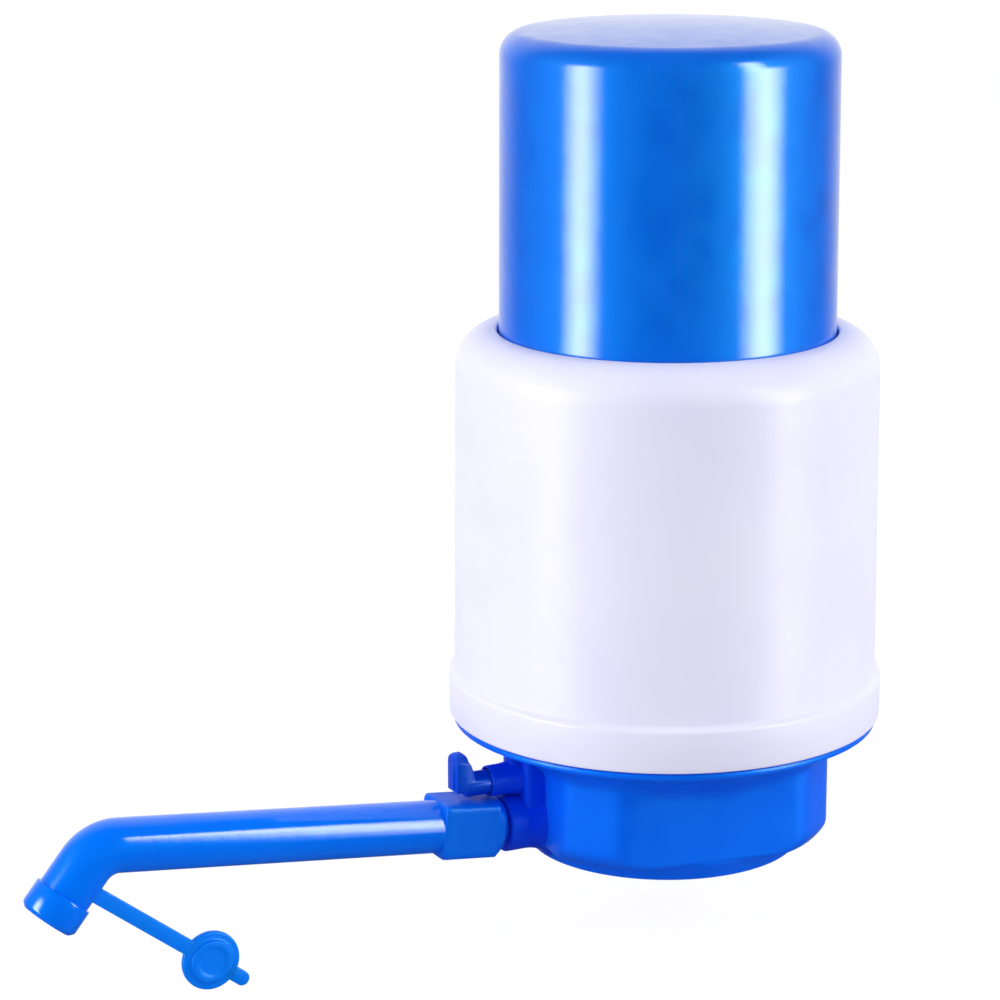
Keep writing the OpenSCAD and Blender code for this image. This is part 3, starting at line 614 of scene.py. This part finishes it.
# the grip block; its socket runs level, so it leans against the block's own line
CORNERED, CLIPPED = 14, 40  # how tightly the corners and the clipped edges are rounded
SOCKET_ASIDE, SOCKET_END_ASIDE = -0.11, -1.18
block = bmesh.new()
bmesh.ops.create_circle(block, radius=SOCKET_R / 1000, segments=160)
bmesh.ops.translate(block, vec=(SOCKET_ASIDE / 1000, 0, -0.002), verts=block.verts)
squared(block, block.edges[:], SOCKET_ASIDE, [
    (BLOCK_H, 4.7, -2, 0), (BLOCK_H, 4.9, -1.9, 0), (BLOCK_H, 6.25, -0.75, 0),
    (BLOCK_H, 6.5, -0.5, 0), (BLOCK_H, 8.1, 0.85, 0), (BLOCK_H, 8.4, 1.2, 0),
    (BLOCK_H, 8.4, BLOCK_L - 1.0, 0), (BLOCK_H, 7.9, BLOCK_L - 0.5, 0),
    (BLOCK_H - 0.06, 7.6, BLOCK_L - 0.25, 0), (BLOCK_H - 0.25, 7.3, BLOCK_L - 0.06, 0),
    (BLOCK_H - 0.45, 7.1, BLOCK_L, 0), (BLOCK_H, TUBE_BORE, BLOCK_L, 0),
    (BLOCK_H, TUBE_BORE, BLOCK_L - 1, 0), (BLOCK_H, DUCT_R, BLOCK_L - 1, 0),
    (BLOCK_H, DUCT_R, SOCKET_END, 0), (BLOCK_H, SOCKET_R, SOCKET_END, SOCKET_END_ASIDE)])
bmesh.ops.bridge_loops(block, edges=[e for e in block.edges if e.is_boundary])
bmesh.ops.recalc_face_normals(block, faces=block.faces)
block.transform(along_spout)
block_blue = plastic("block_blue", (0.0, 0.118, 0.82), (0.0, 0.130, 0.87), 0.5,
                     shine=0.5, tint=(0.0, 0.6, 1), polish=0.12, polish_roughness=0.2)
finished(block, "grip_block", "spout_tube", "blue_spout", block_blue, "spout")

# ---------------------------------------------------------------- strap and dust cap
# Soft polyethylene moulded in one: a flat strap from the spout's leg that bends close to
# each end, and a round cap whose shallow plug closes the mouth, with a pull tab.
STRAP_W, STRAP_T, STRAP_ROOT, STRAP_FALL, HINGE_1, HINGE_2 = 3.2, 1.3, 8.1, 37.2, 2.3, 23.3
DISC_R, DISC_T, STOP_R, TAB_W, BEND_CUTS, CUT_GAP = 6.1, 1.3, 4.35, 3.0, 6, 0.2
along_strap = (along_leg @ Matrix.Translation((-TUBE_R / 1000, 0, STRAP_ROOT / 1000))
               @ Matrix.Rotation(radians(STRAP_FALL - TILT + 90 + TURN), 4, "Y")
               @ Matrix.Rotation(radians(90), 4, "X"))


def long_rims(bm, rounding):
    """Rounds the edges that run along x, and leaves the ends flat."""
    rims = [e for e in bm.edges if abs(e.verts[0].co.x - e.verts[1].co.x)
            > 0.9 * e.calc_length() and e.calc_face_angle(0) > radians(50)]
    bmesh.ops.bevel(bm, geom=rims, offset=rounding / 1000, offset_type="OFFSET",
                    segments=3, profile=0.5, affect="EDGES", material=-1)


def bar(start, end, width, thick):
    """A flat bar along x, in mm."""
    bm = bmesh.new()
    bmesh.ops.create_cube(bm, size=1)
    bmesh.ops.scale(bm, vec=((end - start) / 1000, width / 1000, thick / 1000), verts=bm.verts)
    bmesh.ops.translate(bm, vec=((start + end) / 2000, 0, 0), verts=bm.verts)
    return bm


strap_blue = plastic("strap_blue", (0.0, 0.200, 0.95), (0.0, 0.220, 0.99), 0.5, milk=0.3,
                     shine=0.4, tint=(0.0, 0.6, 1), polish=0.12, polish_roughness=0.3)
middle = (HINGE_1 + HINGE_2) / 2
for name, start, end, hinge, far_body, side in (
        ("strap_root_half", -2.0, middle, HINGE_1, "spout_tube", -1),
        ("strap_cap_half", middle, HINGE_2 + 1.4, HINGE_2, "stopper", 1)):
    bm = bar(start, end, STRAP_W, STRAP_T - 0.02)
    long_rims(bm, 0.22)
    for cut in range(-BEND_CUTS, BEND_CUTS + 1):
        bmesh.ops.bisect_plane(bm, geom=bm.verts[:] + bm.edges[:] + bm.faces[:],
                               plane_co=((hinge + CUT_GAP * cut) / 1000, 0, 0),
                               plane_no=(1, 0, 0))
    bm.transform(along_strap)
    strap = finished(bm, name, None, "blue_spout", strap_blue, "strap")
    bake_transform(strap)

# the cap with its plug, and the pull tab on its far side
disc_x = HINGE_2 + DISC_R + 0.6
bm = turned([
    (0, -DISC_T / 2, 0), (DISC_R, -DISC_T / 2, 0.35), (DISC_R, DISC_T / 2, 0.4),
    (STOP_R + 0.75, DISC_T / 2, 0.2),
    (STOP_R + 0.1, 0.8, 0.1), (STOP_R, 1.35, 0.3), (STOP_R - 1.1, 1.35, 0.3),
    (STOP_R - 1.7, 1.05, 0.5), (0, 1.1, 0)], 96)
bm.transform(Matrix.Translation((disc_x / 1000, 0, 0)))
pull = bar(disc_x + DISC_R - 1.5, disc_x + DISC_R + 3.7, TAB_W, DISC_T - 0.1)
ends = [e for e in pull.edges if e.verts[0].co.x > disc_x / 1000 + 0.008
        and e.verts[1].co.x > disc_x / 1000 + 0.008
        and abs(e.verts[0].co.z - e.verts[1].co.z) > 0.0005]
bmesh.ops.bevel(pull, geom=ends, offset=TAB_W * 0.00048, offset_type="OFFSET", segments=8,
                profile=0.5, affect="EDGES", material=-1)
rims = [e for e in pull.edges if e.calc_face_angle(0) > radians(60)]
bmesh.ops.bevel(pull, geom=rims, offset=0.0002, offset_type="OFFSET", segments=2,
                profile=0.5, affect="EDGES", material=-1)
joined(bm, pull)
bm.transform(along_strap)
finished(bm, "dust_cap_moulding", "stopper", "blue_spout", strap_blue, "dust_cap")

# ---------------------------------------------------------------- air release
# A turning plug of darker blue polypropylene with a thumb fin. Its cross hole lets air
# into the jug while water is drawn, and shuts at a quarter turn.


def moulded(node, rounding, segments=3, crease=30):
    """A merged copy of a CAD node's mesh with its sharp edges rounded, as a mould leaves them."""
    bm = bmesh.new()
    bm.from_mesh(nodes[node].data)
    bmesh.ops.remove_doubles(bm, verts=bm.verts, dist=2e-6)
    sharp = [e for e in bm.edges if e.is_manifold and e.calc_face_angle(0) > radians(crease)]
    bmesh.ops.bevel(bm, geom=sharp, offset=rounding / 1000, offset_type="OFFSET",
                    segments=segments, profile=0.5, affect="EDGES", clamp_overlap=False,
                    material=-1)
    return bm


plug_blue = plastic("plug_blue", (0.0, 0.045, 0.62), (0.0, 0.055, 0.68), 0.45,
                    shine=0.6, tint=(0.0, 0.5, 1), polish=0.3, polish_roughness=0.2)
finished(moulded("air_plug", 0.2), "air_plug_moulding", "air_release", "blue_plug", plug_blue,
         "air_plug")

# ---------------------------------------------------------------- bellows
# The pump itself: a blow-moulded polyethylene bellows that hangs from the head plate
# and is held on the base by the clamp ring. Pressing the cap squeezes it down.
BELLOWS_R, WAIST_R, FOOT_R, BELLOWS_WALL, FOLDS = 31.0, 26.0, 28.4, 1.1, 14
FOLDS_LOW, FOLDS_TOP, BELLOWS_LOW, BELLOWS_TOP = 34.0, 152.0, 27.0, 160.7
step = (FOLDS_TOP - FOLDS_LOW) / FOLDS
outer = [(WAIST_R - BELLOWS_WALL, BELLOWS_LOW, 0.2), (FOOT_R, BELLOWS_LOW, 0.3),
         (FOOT_R, BELLOWS_LOW + 1.6, 0.3), (WAIST_R, BELLOWS_LOW + 1.6, 0.4)]
inner = []
for fold in range(FOLDS):
    for r, share, rounding in ((WAIST_R, 0, 0.6), (BELLOWS_R, 0.42, 0.5), (BELLOWS_R, 0.58, 0.5)):
        outer.append((r, FOLDS_LOW + (fold + share) * step, rounding))
        inner.append((r - BELLOWS_WALL, FOLDS_LOW + (fold + share) * step, rounding * 0.6))
outer += [(WAIST_R, FOLDS_TOP, 0.6), (WAIST_R, BELLOWS_TOP, 0.3)]
inner += [(WAIST_R - BELLOWS_WALL, FOLDS_TOP, 0.4), (WAIST_R - BELLOWS_WALL, BELLOWS_TOP, 0.3)]
milky = plastic("natural_plastic", (0.74, 0.76, 0.80), (0.80, 0.82, 0.86), 0.4, milk=0.2)
bellows = finished(turned(outer + inner[::-1], 96), "bellows_skin", None, "natural_plastic",
                   milky, "bellows", crease=60)
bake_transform(bellows)

# ---------------------------------------------------------------- inside pieces
# Moulded plates and rings of natural polypropylene; four steel screws hold the clamp ring
# and the cover plate. The valves and the neck's seal are silicone, the o-rings rubber.
# They keep the shapes of the CAD and only get their materials here.


def dressed(material, *names):
    for name in names:
        nodes[name].data.materials.clear()
        nodes[name].data.materials.append(material)


dressed(milky, "head_plate", "cuff_ring", "clamp_ring", "cover_plate")
dressed(plastic("silicone", (0.62, 0.62, 0.62), (0.7, 0.7, 0.7), 0.45, milk=0.3),
        "intake_valve", "delivery_valve", "neck_seal")
dressed(plastic("dark_rubber", (0.02, 0.02, 0.02), (0.035, 0.035, 0.035), 0.5),
        "outlet_oring", "air_oring")
dressed(plastic("screw_steel", (0.5, 0.5, 0.5), (0.6, 0.6, 0.6), 0.3), "clamp_screws")
